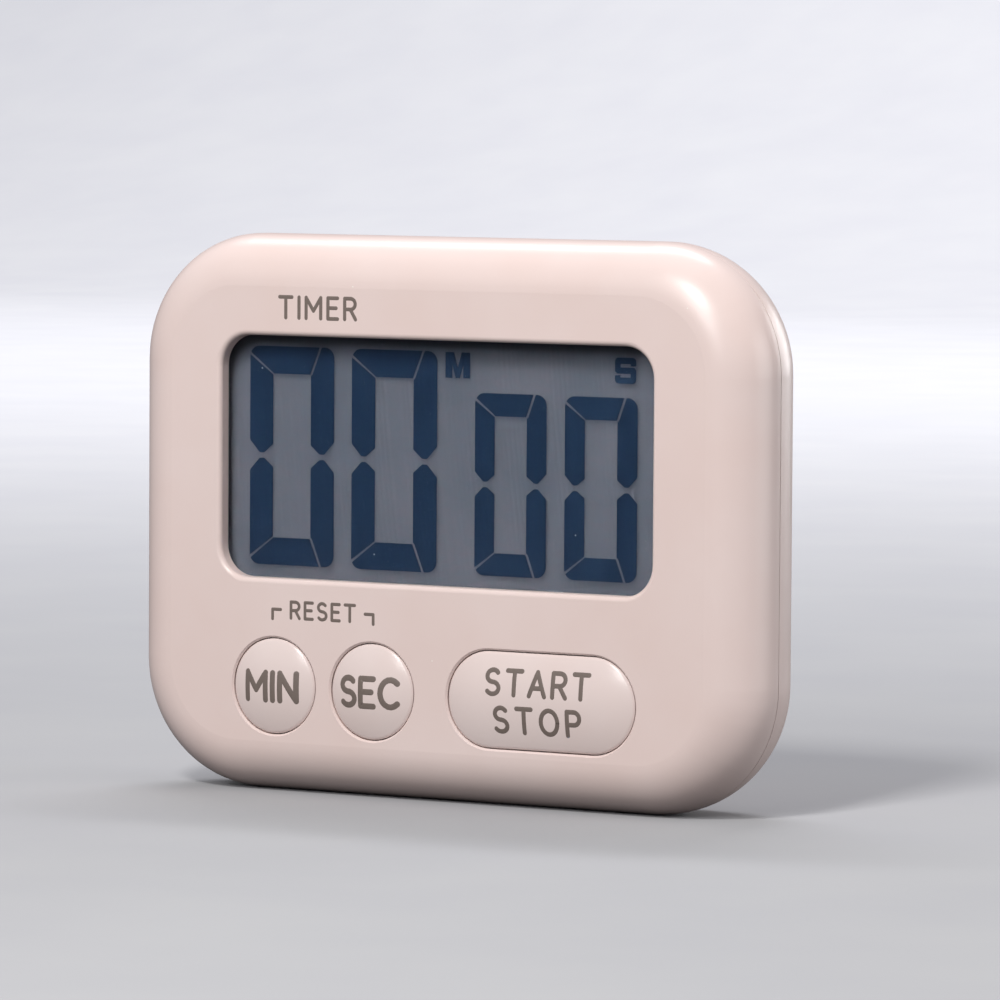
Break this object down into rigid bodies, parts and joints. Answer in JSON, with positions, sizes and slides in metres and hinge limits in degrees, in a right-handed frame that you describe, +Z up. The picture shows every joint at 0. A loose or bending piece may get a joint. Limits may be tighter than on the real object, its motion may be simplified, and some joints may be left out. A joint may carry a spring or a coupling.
{
  "type": "digital kitchen timer",
  "caption": "Pale pink digital kitchen timer: rounded case, recessed liquid crystal display, sprung buttons, battery door and fold-out stand.",
  "frame": {"origin": "middle of the flat back of the case, on the plane that the magnets hold against a metal surface", "axes": "+Z up the upright case, +X to the right of a person who faces the display, +Y out of the back, so the display faces -Y"},
  "size_m": [0.098, 0.0209, 0.076],
  "materials": {
    "case_abs": "moulded ABS, pale pink, fine satin texture",
    "button_abs": "moulded ABS, pale pink, semi-gloss",
    "clear_acrylic": "clear moulded acrylic",
    "black_tape": "die-cut foam tape",
    "polariser_film": "grey polarising film",
    "lcd_glass": "cut float glass, clear",
    "lcd_segments": "darkened liquid crystal, navy",
    "lcd_reflector": "grey reflective film",
    "holder_plastic": "moulded polystyrene, off-white",
    "zebra_rubber": "banded silicone",
    "board_laminate": "green solder mask over glass laminate",
    "gold_pads": "gold-flashed copper",
    "black_epoxy": "dropped black epoxy",
    "bright_steel": "nickel-plated steel",
    "chip_ceramic": "fired ceramic chip parts",
    "keypad_rubber": "grey silicone rubber",
    "carbon_rubber": "conductive black rubber",
    "buzzer_brass": "rolled brass disc",
    "piezo_ceramic": "silvered piezo ceramic",
    "red_pvc": "red PVC wire cover",
    "black_pvc": "black PVC wire cover",
    "cell_sleeve": "plain printed shrink sleeve",
    "ferrite": "sintered black ferrite"
  },
  "bodies": {
    "case": {"front_cover": "case_abs", "rear_cover": "case_abs", "display_window": "clear_acrylic", "window_tape": "black_tape", "front_polariser": "polariser_film", "lcd_front_glass": "lcd_glass", "lcd_minute_digits": "lcd_segments", "lcd_second_digits": "lcd_segments", "lcd_unit_letters": "lcd_segments", "lcd_rear_glass": "lcd_glass", "lcd_reflector": "lcd_reflector", "lcd_holder": "holder_plastic", "zebra_connector": "zebra_rubber", "circuit_board": "board_laminate", "contact_pads": "gold_pads", "controller_chip": "black_epoxy", "clock_crystal": "bright_steel", "chip_components": "chip_ceramic", "keypad_mat": "keypad_rubber", "buzzer_plate": "buzzer_brass", "buzzer_ceramic": "piezo_ceramic", "buzzer_red_wire": "red_pvc", "buzzer_black_wire": "black_pvc", "battery_can": "bright_steel", "battery_sleeve": "cell_sleeve", "battery_spring": "bright_steel", "battery_plus_contact": "bright_steel", "battery_red_wire": "red_pvc", "battery_black_wire": "black_pvc", "magnets": "ferrite", "stand_pin": "bright_steel", "housing_screws": "bright_steel", "board_screws": "bright_steel"},
    "minute_key": {"minute_button": "button_abs", "minute_key_core": "keypad_rubber", "minute_key_pill": "carbon_rubber"},
    "second_key": {"second_button": "button_abs", "second_key_core": "keypad_rubber", "second_key_pill": "carbon_rubber"},
    "start_stop_key": {"start_stop_button": "button_abs", "start_stop_key_core": "keypad_rubber", "start_stop_key_pill": "carbon_rubber"},
    "stand": {"stand": "case_abs"},
    "door": {"battery_door": "case_abs"}
  },
  "joints": [
    {"name": "minute_press", "type": "slide", "parent": "case", "child": "minute_key", "axis": [0, 1, 0], "range_m": [0, 0.0007], "stiffness_N_per_m": 1200, "springref_m": -0.0003},
    {"name": "second_press", "type": "slide", "parent": "case", "child": "second_key", "axis": [0, 1, 0], "range_m": [0, 0.0007], "stiffness_N_per_m": 1200, "springref_m": -0.0003},
    {"name": "start_stop_press", "type": "slide", "parent": "case", "child": "start_stop_key", "axis": [0, 1, 0], "range_m": [0, 0.0007], "stiffness_N_per_m": 1200, "springref_m": -0.0003},
    {"name": "stand_hinge", "type": "hinge", "parent": "case", "child": "stand", "pos_m": [0, -0.00165, -0.0052], "axis": [1, 0, 0], "range_deg": [0, 55]},
    {"name": "door_hinge", "type": "hinge", "parent": "case", "child": "door", "pos_m": [0, -0.0009, 0.0085], "axis": [-1, 0, 0], "range_deg": [0, 75]}
  ]
}
